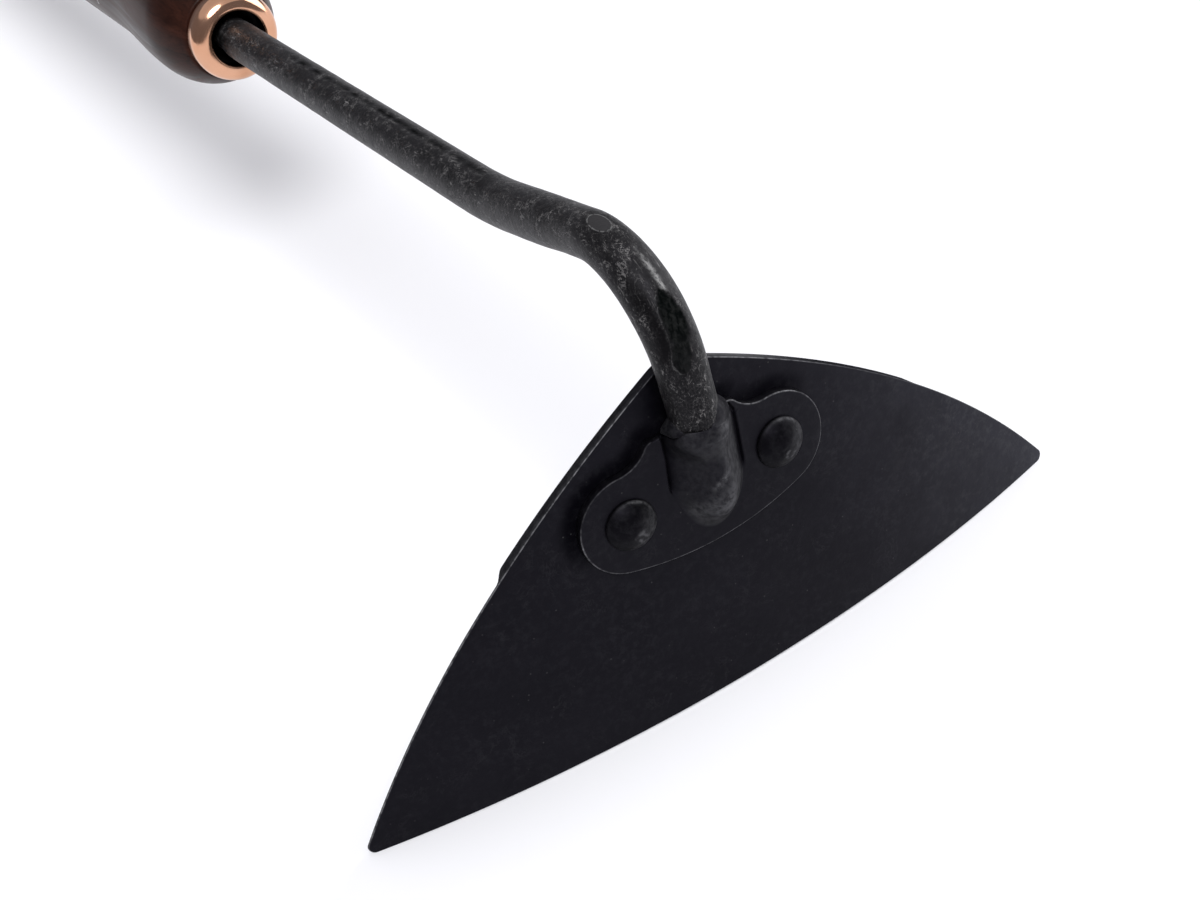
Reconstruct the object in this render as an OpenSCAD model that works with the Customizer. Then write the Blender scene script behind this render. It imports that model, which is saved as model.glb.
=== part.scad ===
// Long handled hoe: a rolled triangular blade, riveted to a pressed plate on a bent round neck,
// with a copper ferrule and a turned wooden handle.
// It lies on the floor on its two blade points and the butt of its handle.
// +X runs across the blade, +Y towards the butt, +Z up.

/* [Blade] */
// Width of the blade from point to point
blade_w = 172; // [150:1:210]
// Height of the blade from the cutting edge to the crown
blade_h = 76; // [66:1:96]
// Thickness of the blade's sheet
blade_t = 2.4; // [1.6:0.1:3.6]
// Radius of the two curved upper edges
blade_side_r = 211; // [170:1:300]
// Radius that the sheet is rolled to across its width
blade_bend_r = 328; // [240:1:520]
// Radius that rounds the crown
blade_crown_r = 8; // [4:0.5:14]
// Radius that rounds the two points
blade_tip_r = 1.5; // [0.6:0.1:3]
// Height of the bevel behind the cutting edge
edge_grind_h = 9; // [5:0.5:14]
// Width of the bevel behind the ground part of the upper edges
side_grind_w = 5; // [3:0.5:8]
// Height at which the bevel of the left upper edge stops
left_grind_h = 48; // [36:1:56]
// Height at which the bevel of the right upper edge stops
right_grind_h = 40; // [30:1:50]
// Thickness left at the ground edges
edge_land = 0.5; // [0.3:0.05:0.9]

/* [Mounting plate] */
// Thickness of the plate
plate_t = 2; // [1.4:0.1:3]
// Radius of the plate's two ears
ear_r = 10.6; // [9:0.1:13]
// Radius of the plate's long lower edge
plate_low_r = 72; // [55:1:95]
// Radius of the hollow between an ear and the middle tab
plate_hollow_r = 8; // [6:0.5:10]
// Width of the flat flange on each side of the boss
plate_flange = 2.8; // [2:0.1:4]
// Radius that rounds the upper corners of the middle tab
tab_corner_r = 2.3; // [1.5:0.1:4]
// Wall of the boss that is drawn over the end of the neck
boss_wall = 0.8; // [0.6:0.1:1.4]
// Radius of the cove round the foot of the boss
boss_cove_r = 0.6; // [0.4:0.1:1]

/* [Rivets] */
// Distance between the two rivets
rivet_pitch = 34.6; // [32:0.2:40]
// Depth of the rivets below the crown
rivet_drop = 27.3; // [25:0.5:32]
// Diameter of the rivets' shanks
rivet_d = 5; // [4:0.1:6]
// Diameter of the domed heads
rivet_head_d = 10.8; // [9:0.1:13]
// Height of the domed heads
rivet_head_h = 2.9; // [2:0.1:4]
// Diameter of the formed tails behind the blade
rivet_tail_d = 8.4; // [7:0.1:10]
// Height of the formed tails
rivet_tail_h = 1.4; // [1:0.1:2.5]

/* [Neck] */
// Diameter of the neck's round bar
neck_d = 10; // [8:0.1:12]
// Radius of the bend over the crown, to the middle of the bar
crown_bend_r = 21.5; // [18:0.5:30]
// Slope of the short run behind the crown bend
run_slope_deg = 7.6; // [4:0.2:12]
// Length of the short sloping run
run_len = 34.4; // [20:0.5:60]
// Radius of the gentle bend, to the middle of the bar
gentle_bend_r = 135; // [80:1:200]
// Rise of the handle from a line square to the blade
handle_rise_deg = 0.9; // [0:0.1:3]
// Length of the straight neck in front of the ferrule
neck_straight = 146; // [100:1:220]
// Depth of the neck's lower end below the crown
neck_end_drop = 29.2; // [27:0.2:33]
// Depth of the boss's upper rim below the crown
boss_top_drop = 10.7; // [10:0.1:13]
// Height of the weld beads above the boss's rim
weld_h = 3.6; // [2:0.1:5]
// Length of the neck's tang inside the handle
tang_len = 110; // [80:1:140]

/* [Ferrule] */
// Outer diameter of the ferrule
ferrule_d = 24.4; // [22:0.1:28]
// Length of the ferrule
ferrule_len = 7.8; // [7:0.1:12]
// Wall of the ferrule
ferrule_wall = 1.1; // [0.8:0.1:1.6]
// Gap between the neck and the ferrule's mouth
ferrule_gap = 2.7; // [1.5:0.1:3]

/* [Handle] */
// Length of the handle from its shoulder to the butt
handle_len = 1350; // [1000:5:1600]
// Diameter of the handle's straight grip
grip_d = 31; // [28:0.5:33]
// Largest diameter of the swell behind the ferrule
swell_d = 35.2; // [34:0.2:40]
// Distance of the swell's crest from the shoulder
swell_at = 20; // [14:0.5:30]
// Length over which the swell runs out into the grip
swell_runout = 45; // [30:1:80]
// Radius that rounds the butt
butt_round = 7; // [4:0.5:10]
// Diameter of the cross pin through the handle and the tang
pin_d = 4; // [3:0.1:5]
// Distance of the cross pin from the shoulder
pin_at = 78; // [75:1:95]

/* [Hidden] */
$fn = 96;

// Overrun of every cut past the face that it leaves
overrun = 1;
// Flats that draw the wide roll of the sheet
roll_flats = 360;
// Thinning of the bar's radius where it is bent
bend_thinning = 0.05;
// Lap of each straight bar into the bend beside it
bar_lap = 0.8;
// Play between pieces that are slipped together
fit_gap = 0.1;
// Height of the straight rim under a rivet's dome
rivet_rim_h = 0.5;
// Step of the wood above the ferrule at the shoulder
shoulder_step = 0.4;
// Half of the arc that each weld bead covers in front of the neck's side
weld_front_deg = 60;
// Points that draw each curve of the handle's profile
profile_steps = 10;
// Points that draw the long arcs and the short arcs of the sheet outlines
long_arc_steps = 28;
short_arc_steps = 12;
// Angle short of upright at which the hollow beside the tab stops
hollow_stop_deg = 38;
// Slant given to each side bevel's stop, past the end of the ground stretch
grind_past_deg = 12;
// Places along a ground stretch that its bevel is drawn through
grind_shares = [0, 0.5, 1];
// Reach of the bevel's cutting wedge, of the bevel's own radius
grind_reach_share = 1.2;
// Height of the weld's crown, of the bead's height
weld_crown_share = 0.45;

neck_r = neck_d / 2;
boss_r = neck_r + fit_gap + boss_wall;
rivet_h = blade_h - rivet_drop;
neck_end_h = blade_h - neck_end_drop;
boss_top_h = blade_h - boss_top_drop;
tab_half_w = boss_r + plate_flange;
ear_x = rivet_pitch / 2;

// Centre of the right upper edge's arc, which meets the rounded point and the rounded crown
tip_c = [blade_w / 2 - blade_tip_r, blade_tip_r];
crown_c = [0, blade_h - blade_crown_r];
tip_reach = blade_side_r - blade_tip_r;
crown_reach = blade_side_r - blade_crown_r;
side_span = crown_c - tip_c;
side_along = (pow(tip_reach, 2) - pow(crown_reach, 2) + side_span * side_span) / (2 * norm(side_span));
side_off = sqrt(pow(tip_reach, 2) - pow(side_along, 2));
side_c = tip_c + (side_along * side_span + side_off * [-side_span[1], side_span[0]]) / norm(side_span);

// Half width of the blade at a height
function side_x(h) = side_c[0] + sqrt(pow(blade_side_r, 2) - pow(h - side_c[1], 2));
// How far the rolled sheet's outer face lies behind its middle
function sheet_back(x) = blade_bend_r - sqrt(pow(blade_bend_r, 2) - pow(x, 2));
blade_depth = sheet_back(blade_w / 2) + 2 * blade_t;
tip_back = sheet_back(tip_c[0]);

// Line of the neck in the middle plane, as pairs of Y and Z
neck_y = -neck_r - fit_gap;
bend_c = [neck_y + crown_bend_r, blade_h];
run_start = bend_c + crown_bend_r * [sin(run_slope_deg), cos(run_slope_deg)];
run_end = run_start + run_len * [cos(run_slope_deg), -sin(run_slope_deg)];
gentle_c = run_end + gentle_bend_r * [sin(run_slope_deg), cos(run_slope_deg)];
handle_start = gentle_c + gentle_bend_r * [sin(handle_rise_deg), -cos(handle_rise_deg)];
handle_dir = [cos(handle_rise_deg), sin(handle_rise_deg)];
handle_down = [sin(handle_rise_deg), -cos(handle_rise_deg)];

// Distances along the handle's axis from the end of the gentle bend
mouth_at = neck_straight;
shoulder_at = mouth_at + ferrule_len;
butt_at = shoulder_at + handle_len;
grip_at = shoulder_at + swell_at + swell_runout;
tang_end = shoulder_at + tang_len;
grip_r = grip_d / 2;
swell_r = swell_d / 2;
ferrule_r = ferrule_d / 2;
spigot_r = ferrule_r - ferrule_wall;
mouth_r = neck_r + ferrule_gap;
shoulder_r = ferrule_r + shoulder_step;

// Angle that lays the hoe down until the butt meets the floor
butt_low = handle_start + (butt_at - butt_round) * handle_dir + (grip_r - butt_round) * handle_down;
butt_high = handle_start + (butt_at - butt_round) * handle_dir - (grip_r - butt_round) * handle_down;
butt_reach = butt_low - [tip_back, 0];
lie_deg = acos(butt_round / norm(butt_reach)) - atan2(butt_reach[0], butt_reach[1]);
front_y = neck_y * cos(lie_deg) + neck_end_h * sin(lie_deg) - boss_r;
back_y = butt_high[0] * cos(lie_deg) + butt_high[1] * sin(lie_deg) + butt_round;

// Angle of a direction, from the first axis towards the second
function angle_of(v) = atan2(v[1], v[0]);
// Points along an arc, with both of its ends
function arc(centre, r, from_deg, to_deg, steps) = [
    for (i = [0 : steps])
        let (angle = from_deg + (to_deg - from_deg) * i / steps)
        centre + r * [cos(angle), sin(angle)]
];
// All points but the first, which the arc before already has
function past_first(points) = [for (i = [1 : len(points) - 1]) points[i]];
// Right half of an outline, followed by its mirror image, with no point twice on the middle line
function both_halves(points) = concat(
    points,
    [for (i = [len(points) - 1 : -1 : 0]) if (points[i][0] > overrun / 2) [-points[i][0], points[i][1]]]
);

// Centre of the circle through three points
function circle_centre(a, b, c) =
    let (u = b - a, v = c - a, twist = 2 * cross(u, v))
    a + [v[1] * (u * u) - u[1] * (v * v), u[0] * (v * v) - v[0] * (u * u)] / twist;

// Lays the upright hoe on the floor, with the middle of its length over the origin
module laid_down() {
    translate([0, -(front_y + back_y) / 2, tip_back * sin(lie_deg)])
        rotate([-lie_deg, 0, 0])
            children();
}

// Turns children round the roll of the sheet, from its middle to a place at x
module facing(x) {
    translate([0, blade_bend_r, 0])
        rotate([0, 0, asin(x / blade_bend_r)])
            translate([0, -blade_bend_r, 0])
                children();
}

// Extrudes an upright outline through the rolled sheet
module through_sheet(front) {
    translate([0, blade_depth, 0])
        rotate([90, 0, 0])
            linear_extrude(blade_depth + front)
                children();
}

// Solid round the roll's centre line, as wide as the sheet's face at that radius
module roll(r, low, high) {
    translate([0, blade_bend_r, low])
        cylinder(h = high - low, r = r, $fn = roll_flats);
}

// Ring of rolled sheet from one face radius to another
module rolled_sheet(outer_r, inner_r, high) {
    difference() {
        roll(outer_r, -overrun, high);
        roll(inner_r, -2 * overrun, high + overrun);
    }
}

// Hole through plate and blade for a rivet
module rivet_hole(x) {
    facing(x)
        translate([0, -plate_t - overrun, rivet_h])
            rotate([-90, 0, 0])
                cylinder(h = plate_t + blade_t + 2 * overrun, d = rivet_d + 2 * fit_gap);
}

// Outline of the blade, from the right point round to the left one
function blade_outline() =
    let (
        tip_deg = angle_of(tip_c - side_c),
        crown_deg = angle_of(crown_c - side_c)
    )
    both_halves(concat(
        arc(tip_c, blade_tip_r, -90, tip_deg, short_arc_steps),
        past_first(arc(side_c, blade_side_r, tip_deg, crown_deg, long_arc_steps)),
        past_first(arc(crown_c, blade_crown_r, crown_deg, 90, short_arc_steps))
    ));

// Waste of the bevel behind the cutting edge
module edge_grind() {
    slant = (blade_t - edge_land) / edge_grind_h;
    translate([0, blade_bend_r, -overrun])
        cylinder(
            h = edge_grind_h + overrun,
            r1 = blade_bend_r - edge_land + slant * overrun,
            r2 = blade_bend_r - blade_t,
            $fn = roll_flats
        );
}

// Waste of the bevel behind the right upper edge, from the point up to a height
module side_grind(stop_h) {
    mid_x = side_x(stop_h / 2);
    turn = asin(mid_x / blade_bend_r);
    stretch = [
        for (share = grind_shares)
            [blade_bend_r * sin(asin(side_x(share * stop_h) / blade_bend_r) - turn), share * stop_h]
    ];
    centre = circle_centre(stretch[0], stretch[1], stretch[2]);
    grind_r = norm(stretch[0] - centre);
    low = stretch[0] - centre;
    stop = stretch[2] - centre;
    low_deg = atan2(low[1], low[0]) - grind_past_deg;
    stop_deg = atan2(stop[1], stop[0]);
    reach = grind_r * grind_reach_share;
    slant = side_grind_w / (blade_t - edge_land);
    deep = 2 * blade_t;
    facing(mid_x)
        translate([centre[0], edge_land, centre[1]])
            difference() {
                translate([0, deep, 0])
                    rotate([90, 0, 0])
                        linear_extrude(deep)
                            polygon([
                                [0, 0],
                                reach * [cos(low_deg), sin(low_deg)],
                                reach * [cos(stop_deg), sin(stop_deg)]
                            ]);
                translate([0, -overrun, 0])
                    rotate([-90, 0, 0])
                        cylinder(
                            h = deep + 2 * overrun,
                            r1 = grind_r + slant * overrun,
                            r2 = grind_r - slant * (deep + overrun),
                            $fn = roll_flats
                        );
            }
}

module blade() {
    color("#202024")
        laid_down()
            difference() {
                intersection() {
                    rolled_sheet(blade_bend_r, blade_bend_r - blade_t, blade_h + overrun);
                    through_sheet(overrun)
                        polygon(blade_outline());
                }
                edge_grind();
                side_grind(right_grind_h);
                mirror([1, 0, 0])
                    side_grind(left_grind_h);
                rivet_hole(-ear_x);
                rivet_hole(ear_x);
            }
}

// Bean shaped outline of the plate, with a round ear on each side and a tab in the middle
function plate_outline() =
    let (
        low_c = [0, rivet_h + sqrt(pow(plate_low_r - ear_r, 2) - pow(ear_x, 2))],
        ear_c = [ear_x, rivet_h],
        hollow_x = tab_half_w + plate_hollow_r,
        hollow_reach = ear_r + plate_hollow_r,
        hollow_c = [hollow_x, rivet_h + sqrt(pow(hollow_reach, 2) - pow(hollow_x - ear_x, 2))],
        low_deg = angle_of(ear_c - low_c),
        high_deg = angle_of(hollow_c - ear_c),
        stop_deg = 180 + hollow_stop_deg,
        corner = hollow_c + plate_hollow_r * [cos(stop_deg), sin(stop_deg)],
        corner_c = corner - tab_corner_r * [cos(hollow_stop_deg), sin(hollow_stop_deg)]
    )
    both_halves(concat(
        past_first(arc(low_c, plate_low_r, -90, low_deg, short_arc_steps)),
        past_first(arc(ear_c, ear_r, low_deg, high_deg, long_arc_steps)),
        past_first(arc(hollow_c, plate_hollow_r, high_deg + 180, stop_deg, short_arc_steps)),
        past_first(arc(corner_c, tab_corner_r, hollow_stop_deg, 90, short_arc_steps))
    ));

// Upright bar with a round lower end, running back past the blade's face as a U
module boss_form(r, high) {
    deep = overrun - neck_y;
    translate([0, neck_y, neck_end_h]) {
        cylinder(h = high - neck_end_h, r = r);
        sphere(r = r);
        rotate([-90, 0, 0])
            cylinder(h = deep, r = r);
        translate([-r, 0, 0])
            cube([2 * r, deep, high - neck_end_h]);
    }
}

// Section of the cove at the foot of the boss, from the boss's side outwards
module cove_section() {
    difference() {
        square([boss_cove_r, plate_t + boss_cove_r]);
        translate([boss_cove_r, plate_t + boss_cove_r])
            circle(r = boss_cove_r);
    }
}

// Cove down both sides of the boss and round its lower end
module boss_cove() {
    for (side = [0, 1])
        mirror([side, 0, 0])
            translate([boss_r, 0, neck_end_h])
                mirror([0, 1, 0])
                    linear_extrude(boss_top_h - neck_end_h)
                        cove_section();
    translate([0, 0, neck_end_h])
        rotate([90, 0, 0])
            rotate([0, 0, 180])
                rotate_extrude(angle = 180)
                    translate([boss_r, 0])
                        cove_section();
}

module mounting_plate() {
    color("#222226")
        laid_down()
            difference() {
                union() {
                    intersection() {
                        rolled_sheet(blade_bend_r + plate_t, blade_bend_r, blade_h);
                        through_sheet(plate_t + overrun)
                            polygon(plate_outline());
                    }
                    difference() {
                        union() {
                            boss_form(boss_r, boss_top_h);
                            boss_cove();
                        }
                        roll(blade_bend_r, 0, blade_h);
                    }
                }
                boss_form(neck_r + fit_gap, blade_h + overrun);
                rivet_hole(-ear_x);
                rivet_hole(ear_x);
            }
}

// Bar of the neck in the middle plane, from a place and along an angle, lapped into the bends beside it
module bar(at, angle, length) {
    translate([0, at[0], at[1]])
        rotate([angle - 90, 0, 0])
            translate([0, 0, -bar_lap])
                cylinder(h = length + 2 * bar_lap, r = neck_r);
}

// Bent bar in the middle plane, round a centre, from one angle to another
module bent_bar(centre, r, from_deg, to_deg) {
    translate([0, centre[0], centre[1]])
        rotate([90, 0, 90])
            rotate([0, 0, from_deg])
                rotate_extrude(angle = to_deg - from_deg)
                    translate([r, 0])
                        circle(r = neck_r - bend_thinning);
}

// Places children on the handle's axis, with +Z towards the butt
module on_handle() {
    translate([0, handle_start[0], handle_start[1]])
        rotate([handle_rise_deg - 90, 0, 0])
            children();
}

// Hole for the cross pin, through the handle and the tang
module pin_hole() {
    translate([-swell_r, 0, shoulder_at + pin_at])
        rotate([0, 90, 0])
            cylinder(h = 2 * swell_r, d = pin_d + 2 * fit_gap);
}

module neck() {
    color("#26262a")
        laid_down()
            difference() {
                union() {
                    translate([0, neck_y, neck_end_h])
                        sphere(r = neck_r);
                    bar([neck_y, neck_end_h], 90, blade_h - neck_end_h);
                    bent_bar(bend_c, crown_bend_r, 90 - run_slope_deg, 180);
                    bar(run_start, -run_slope_deg, run_len);
                    bent_bar(gentle_c, gentle_bend_r, 270 - run_slope_deg, 270 + handle_rise_deg);
                    bar(handle_start, handle_rise_deg, tang_end - bar_lap);
                }
                on_handle()
                    pin_hole();
            }
}

module weld_beads() {
    back_deg = asin((-neck_y - plate_t - fit_gap) / boss_r);
    inner_r = neck_r + fit_gap / 2;
    color("#2a2a2e")
        laid_down()
            translate([0, neck_y, boss_top_h])
                for (side = [0, 1])
                    mirror([side, 0, 0])
                        rotate([0, 0, -weld_front_deg])
                            rotate_extrude(angle = weld_front_deg + back_deg)
                                polygon([
                                    [inner_r, 0],
                                    [boss_r, 0],
                                    [(boss_r + inner_r) / 2 + boss_wall / 4, weld_h * weld_crown_share],
                                    [inner_r, weld_h]
                                ]);
}

// Low dome on a plane, cut off by a round rim
module dome(d, high, rim_h) {
    rise = high - rim_h;
    r = (pow(d / 2, 2) + pow(rise, 2)) / (2 * rise);
    intersection() {
        cylinder(h = high + overrun, d = d);
        translate([0, 0, high - r])
            sphere(r = r);
    }
}

// Rivet square to the sheet at x, with its head on the plate and its tail behind the hollow of the blade
module rivet(x) {
    tail_seat = blade_t + sheet_back(rivet_tail_d / 2);
    color("#242428")
        laid_down()
            facing(x)
                translate([0, 0, rivet_h])
                    rotate([90, 0, 0]) {
                        translate([0, 0, -tail_seat - rivet_rim_h])
                            cylinder(h = tail_seat + plate_t + 2 * rivet_rim_h, d = rivet_d);
                        translate([0, 0, plate_t])
                            dome(rivet_head_d, rivet_head_h, rivet_rim_h);
                        translate([0, 0, -tail_seat])
                            mirror([0, 0, 1])
                                dome(rivet_tail_d, rivet_tail_h, rivet_rim_h);
                    }
}

module rivet_left() {
    rivet(-ear_x);
}

module rivet_right() {
    rivet(ear_x);
}

// Half section of the ferrule's outside or, one wall smaller, of its inside
module ferrule_section(wall) {
    nose_r = ferrule_r - mouth_r;
    translate([0, nose_r])
        square([ferrule_r - wall, ferrule_len - nose_r + wall]);
    translate([mouth_r, nose_r])
        intersection() {
            circle(r = nose_r - wall);
            mirror([0, 1])
                square(nose_r);
        }
}

module ferrule() {
    color("#c98a6b")
        laid_down()
            on_handle()
                translate([0, 0, mouth_at])
                    rotate_extrude()
                        difference() {
                            ferrule_section(0);
                            ferrule_section(ferrule_wall);
                            square([mouth_r, ferrule_len + overrun]);
                        }
}

// Half section of the wood, from the spigot inside the ferrule to the rounded butt
function handle_profile() =
    let (
        crest_at = shoulder_at + swell_at,
        lift = swell_r - shoulder_r,
        swell_arc_r = (pow(swell_at, 2) + pow(lift, 2)) / (2 * lift),
        spigot_at = mouth_at + ferrule_r - mouth_r + fit_gap,
        shoulder = [
            for (i = [0 : profile_steps])
                let (back = swell_at * (1 - i / profile_steps))
                [swell_r - swell_arc_r + sqrt(pow(swell_arc_r, 2) - pow(back, 2)), crest_at - back]
        ],
        runout = [
            for (i = [1 : profile_steps])
                let (share = i / profile_steps)
                [grip_r + (swell_r - grip_r) * (1 + cos(180 * share)) / 2, crest_at + swell_runout * share]
        ],
        butt = [
            for (i = [0 : profile_steps])
                let (angle = 90 * i / profile_steps)
                [grip_r - butt_round + butt_round * cos(angle), butt_at - butt_round + butt_round * sin(angle)]
        ]
    )
    concat(
        [[0, spigot_at], [spigot_r - fit_gap, spigot_at], [spigot_r - fit_gap, shoulder_at]],
        shoulder,
        runout,
        butt,
        [[0, butt_at]]
    );

module handle() {
    color("#3a2119")
        laid_down()
            on_handle()
                difference() {
                    rotate_extrude()
                        polygon(handle_profile());
                    translate([0, 0, mouth_at])
                        cylinder(h = tang_end - mouth_at + overrun, r = neck_r + fit_gap);
                    pin_hole();
                }
}

// Cross pin, as long as fits inside the round of the grip
module tang_pin() {
    pin_len = 2 * sqrt(pow(grip_r, 2) - pow(pin_d / 2, 2));
    color("#8a8a8e")
        laid_down()
            on_handle()
                translate([-pin_len / 2, 0, shoulder_at + pin_at])
                    rotate([0, 90, 0])
                        cylinder(h = pin_len, d = pin_d);
}

blade();
mounting_plate();
neck();
weld_beads();
rivet_left();
rivet_right();
ferrule();
handle();
tang_pin();
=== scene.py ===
from math import atan2, cos, hypot, pi, radians, sin, sqrt

import bmesh
import bpy
import numpy as np
from mathutils import Matrix, Vector, noise


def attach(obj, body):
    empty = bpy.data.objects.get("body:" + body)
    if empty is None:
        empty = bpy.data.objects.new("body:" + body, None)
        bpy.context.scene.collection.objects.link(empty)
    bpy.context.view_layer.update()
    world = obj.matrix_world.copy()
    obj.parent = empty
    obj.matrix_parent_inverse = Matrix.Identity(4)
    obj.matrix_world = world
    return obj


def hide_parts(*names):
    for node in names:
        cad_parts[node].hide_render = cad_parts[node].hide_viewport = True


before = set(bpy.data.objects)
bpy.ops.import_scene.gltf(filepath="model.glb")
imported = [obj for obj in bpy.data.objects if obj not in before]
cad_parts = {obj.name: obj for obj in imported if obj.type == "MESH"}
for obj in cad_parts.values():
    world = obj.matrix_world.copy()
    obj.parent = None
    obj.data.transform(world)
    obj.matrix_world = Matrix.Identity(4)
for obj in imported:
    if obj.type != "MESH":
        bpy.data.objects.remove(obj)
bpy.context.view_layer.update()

# ---------------------------------------------------------------------------
# Measures of the part in millimetres, as in the CAD model.
# Shapes are drawn with the blade upright: X across the blade, Y towards the
# butt from the middle of the blade's outer face, Z up from the cutting edge.
# ---------------------------------------------------------------------------
LIE = radians(3.65513)
MID_Y = 786.739
TIP_BACK = 11.0714

BLADE_W, BLADE_H, BLADE_T = 172.0, 76.0, 2.4
SIDE_R, BEND_R, CROWN_R, TIP_R = 211.0, 328.0, 8.0, 1.5
EDGE_GRIND_H, SIDE_GRIND_W, EDGE_LAND = 9.0, 5.0, 0.5
LEFT_GRIND_H, RIGHT_GRIND_H = 48.0, 40.0

PLATE_T, EAR_R, PLATE_LOW_R, HOLLOW_R = 2.0, 10.6, 72.0, 8.0
FLANGE, TAB_CORNER_R, HOLLOW_STOP = 2.8, 2.3, radians(38)
BOSS_R, BOSS_TOP_H, NECK_END_H = 5.9, 65.3, 46.8
RIVET_X, RIVET_H = 17.3, 48.7
RIVET_R, HEAD_R, HEAD_H, TAIL_R, TAIL_H = 2.5, 5.4, 2.9, 4.2, 1.4

NECK_R, NECK_Y = 5.0, -5.1
CROWN_BEND_R, RUN_SLOPE, RUN_LEN = 21.5, radians(7.6), 34.4
GENTLE_R, RISE = 135.0, radians(0.9)
MOUTH_AT, SHOULDER_AT, TANG_END = 146.0, 153.8, 263.8
# Along the bar from its lower end: the start of the crown bend and of the leaf-shaped flat on it
BEND_AT = BLADE_H - NECK_END_H
LEAF_LOW = BEND_AT + 1.6
FERRULE_R, FERRULE_WALL, MOUTH_R = 12.2, 1.1, 7.7
HANDLE_LEN, GRIP_R, SWELL_R, SWELL_AT, RUNOUT = 1350.0, 15.5, 17.6, 20.0, 45.0
SHOULDER_R, BUTT_ROUND, PIN_R, PIN_AT = 12.6, 7.0, 2.0, 231.8
# Play between pieces that are slipped together
FIT_GAP = 0.1

# In metres: corners closer than this are one, and edges shorter than this go
MERGE, SLIVER = 2e-6, 1e-7


def laid(points):
    """Points of the upright hoe in millimetres, laid on the floor, in metres."""
    x, y, z = np.asarray(points, float).T
    return np.column_stack((
        x,
        y * cos(LIE) + z * sin(LIE) - MID_Y,
        z * cos(LIE) - y * sin(LIE) + TIP_BACK * sin(LIE),
    )) / 1000


def smooth(t):
    """Smooth step from 0 to 1."""
    t = np.clip(t, 0, 1)
    return t * t * (3 - 2 * t)


def lumps(a, b, c=0.0, size=1.0):
    """Even, repeatable noise over two arrays of places, from about -1 to 1."""
    shape = np.shape(a)
    flat = zip(np.ravel(a) / size, np.ravel(b) / size)
    return np.array([noise.noise(Vector((u, v, c))) for u, v in flat]).reshape(shape)


def arc(centre, r, start, stop, steps):
    """Points and outward normals along an arc, angles in radians."""
    angles = np.linspace(start, stop, steps + 1)
    normals = np.column_stack((np.cos(angles), np.sin(angles)))
    return np.asarray(centre) + r * normals, normals


def joined(runs):
    """Points and normals of arcs that follow each other."""
    return [np.vstack([runs[0][kind]] + [run[kind][1:] for run in runs[1:]]) for kind in (0, 1)]


def quads(grid, wrap=False):
    """Faces between the rows and columns of a grid of vertex numbers."""
    if wrap:
        grid = np.column_stack((grid, grid[:, :1]))
    a, b, c, d = grid[:-1, :-1], grid[:-1, 1:], grid[1:, 1:], grid[1:, :-1]
    return np.stack((a, b, c, d), -1).reshape(-1, 4).tolist()


def capped(number):
    """Faces of a tube of vertex numbers, with both of its ends closed."""
    return quads(number, wrap=True) + [number[0].tolist(), number[-1].tolist()]


def piece(name, points, faces, material, slot, nodes, **marks):
    """A closed mesh that stands for CAD nodes, with marks as point attributes."""
    mesh = bpy.data.meshes.new(name)
    mesh.from_pydata(laid(points).tolist(), [], faces)
    for key, values in marks.items():
        layer = mesh.attributes.new(key, "FLOAT", "POINT")
        layer.data.foreach_set("value", np.asarray(values, np.float32).ravel())
    work = bmesh.new()
    work.from_mesh(mesh)
    bmesh.ops.remove_doubles(work, verts=work.verts, dist=MERGE)
    bmesh.ops.dissolve_degenerate(work, edges=work.edges, dist=SLIVER)
    bmesh.ops.recalc_face_normals(work, faces=work.faces)
    for face in work.faces:
        face.smooth = True
    work.to_mesh(mesh)
    work.free()
    mesh.materials.append(material)
    obj = bpy.data.objects.new(name, mesh)
    bpy.context.scene.collection.objects.link(obj)
    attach(obj, "root")
    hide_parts(*nodes)


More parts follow.
